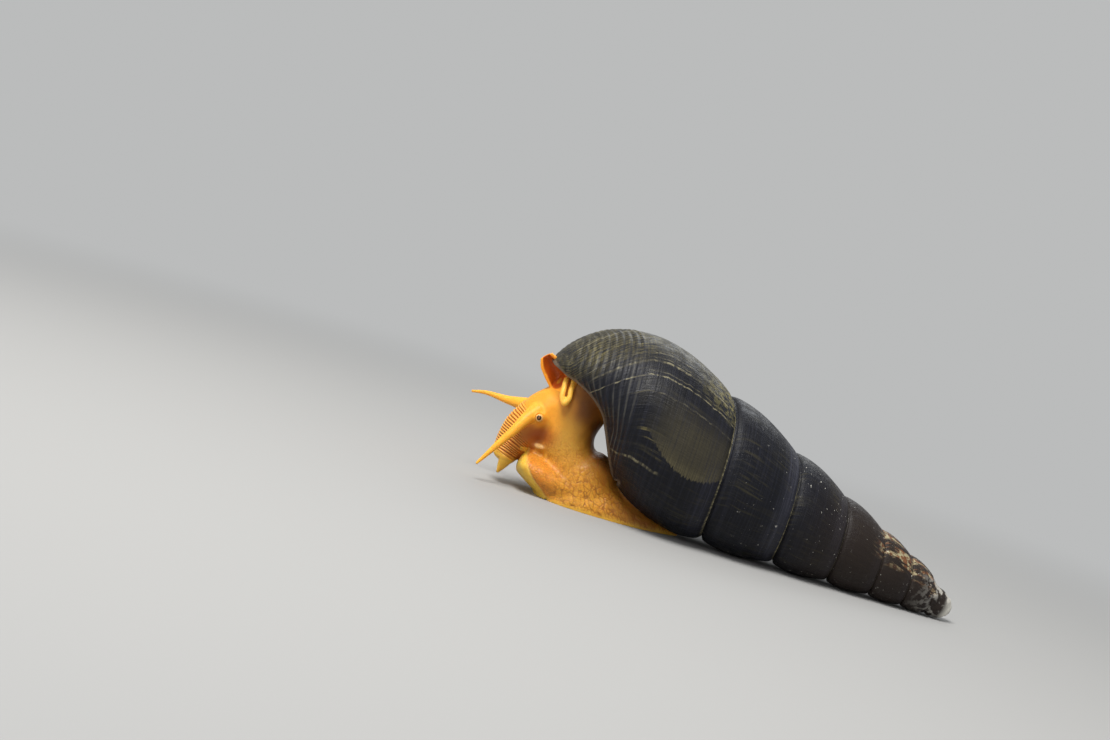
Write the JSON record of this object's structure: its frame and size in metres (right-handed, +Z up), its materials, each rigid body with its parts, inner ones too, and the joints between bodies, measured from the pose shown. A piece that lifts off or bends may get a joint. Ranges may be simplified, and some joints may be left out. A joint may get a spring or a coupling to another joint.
{
  "type": "rabbit snail",
  "caption": "Rabbit snail crawling: tall ribbed spiral shell, wrinkled snout with lip lobes, slender tentacles, small eyes, rolled mantle fold and broad foot.",
  "frame": {"origin": "middle of the flat sole of the foot, on the floor", "axes": "+Z up, -X towards the head, +X towards the tip of the shell, -Y towards the animal's left side"},
  "size_m": [0.1027, 0.0306, 0.0363],
  "materials": {
    "shell": "satin, blue-black with khaki growth streaks",
    "operculum": "thin horny plate, dark brown, satin",
    "mantle": "moist skin, deep orange",
    "flesh": "moist skin, golden orange with dark wrinkles",
    "snout": "moist skin, ringed with pale and brown folds",
    "tentacle": "moist skin, yellow-orange",
    "eye": "wet, near black"
  },
  "bodies": {
    "root": {"shell": "shell", "operculum": "operculum", "mantle": "mantle", "siphon": "mantle", "mantle_lappet": "mantle", "neck": "flesh", "head": "flesh", "foot_front": "flesh", "foot": "flesh", "snout": "snout", "tentacle_left": "tentacle", "tentacle_right": "tentacle", "eye_left": "eye", "eye_right": "eye"}
  },
  "joints": []
}
